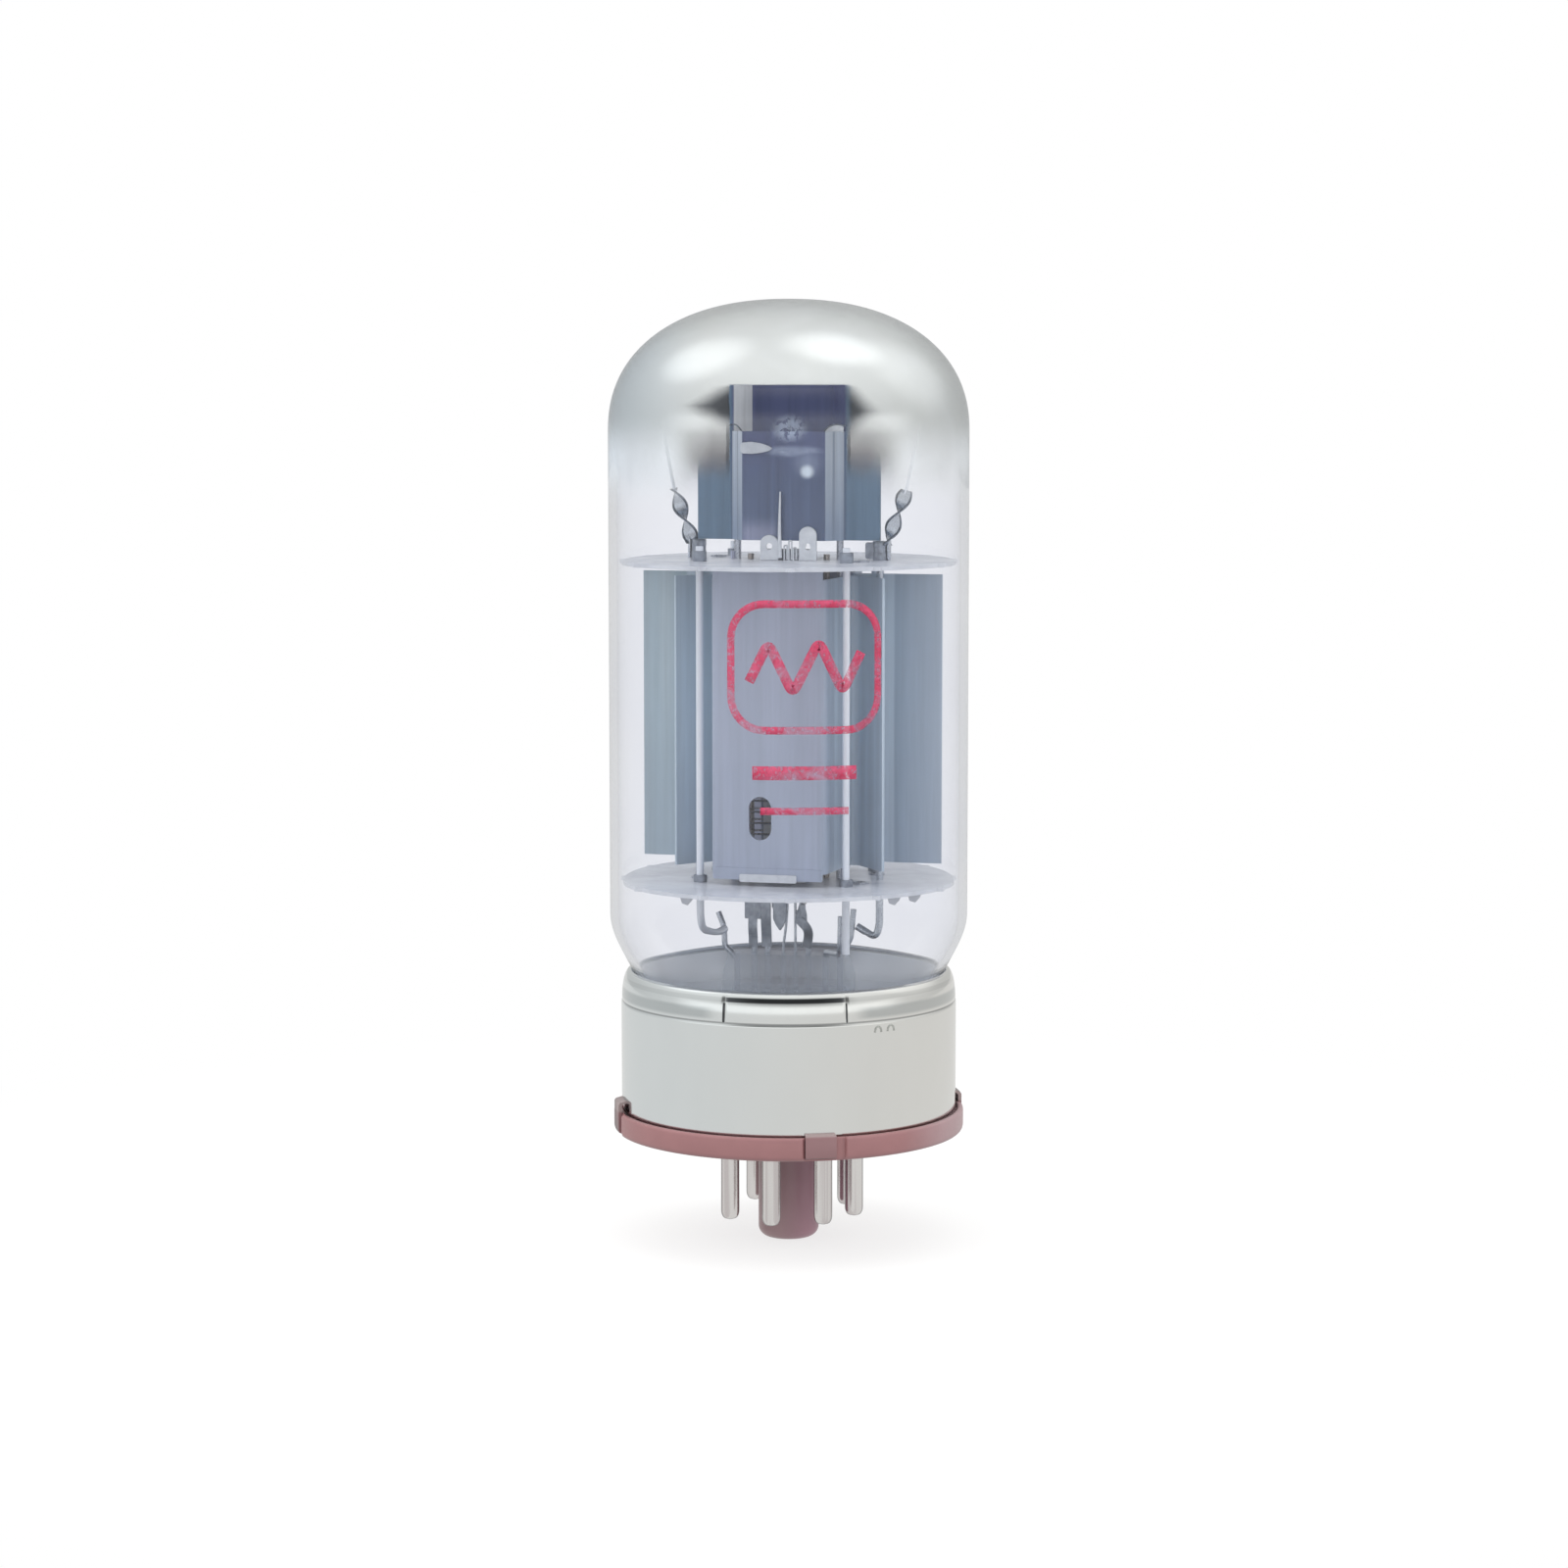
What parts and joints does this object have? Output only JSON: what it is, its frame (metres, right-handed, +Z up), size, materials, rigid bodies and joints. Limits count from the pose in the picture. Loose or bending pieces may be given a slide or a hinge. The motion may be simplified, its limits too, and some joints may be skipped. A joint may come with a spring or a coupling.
{
  "type": "vacuum tube",
  "caption": "Beam power vacuum tube: domed glass bulb with getter mirror over a caged anode between micas, on a plated metal shell with a keyed octal pin base.",
  "frame": {"origin": "centre of the underside of the base wafer, where the tube seats on its socket", "axes": "+Z up along the tube to the dome; the long side of the electrode cage lies along X; -Y is the front, with pin 8 nearest"},
  "size_m": [0.046, 0.046, 0.1209],
  "materials": {
    "bulb_glass": "clear",
    "stem_glass": "clear",
    "getter_silver": "mirror film",
    "plated_steel": "satin bright plate",
    "phenolic": "satin",
    "tinned_brass": "tinned",
    "solder": "satin",
    "cement": "matte",
    "nickel": "bright",
    "dull_nickel": "satin",
    "copper_clad": "satin",
    "mica": "translucent",
    "grey_anode": "carbonised satin",
    "dark_radiator": "carbonised satin",
    "oxide_coating": "matte",
    "getter_steel": "satin",
    "getter_powder": "matte",
    "gold_grid": "satin"
  },
  "bodies": {
    "root": {"glass_bulb": "bulb_glass", "getter_flash": "getter_silver", "base_shell": "plated_steel", "base_wafer": "phenolic", "contact_pins": "tinned_brass", "pin_solder": "solder", "base_cement": "cement", "stem_glass": "stem_glass", "exhaust_tube": "stem_glass", "dumet_seals": "copper_clad", "inner_leads": "nickel", "outer_leads": "copper_clad", "shell_ground_strap": "solder", "lower_mica": "mica", "upper_mica": "mica", "anode_front": "grey_anode", "anode_rear": "grey_anode", "anode_rods": "nickel", "support_rods": "nickel", "rod_ferrules": "dull_nickel", "mica_eyelets": "nickel", "cathode_sleeve": "nickel", "cathode_coating": "oxide_coating", "heater": "oxide_coating", "heater_tabs": "nickel", "control_grid_rods": "gold_grid", "control_grid_wire": "gold_grid", "screen_grid_rods": "nickel", "screen_grid_wire": "dull_nickel", "beam_plates": "dull_nickel", "radiator_front": "dark_radiator", "radiator_rear": "dark_radiator", "cathode_clips": "nickel", "getter_supports": "dull_nickel", "getter_rings": "getter_steel", "getter_fill": "getter_powder", "control_grid_strap": "dull_nickel", "screen_grid_strap": "dull_nickel", "cathode_strap": "dull_nickel", "beam_plate_strap": "dull_nickel"}
  },
  "joints": []
}
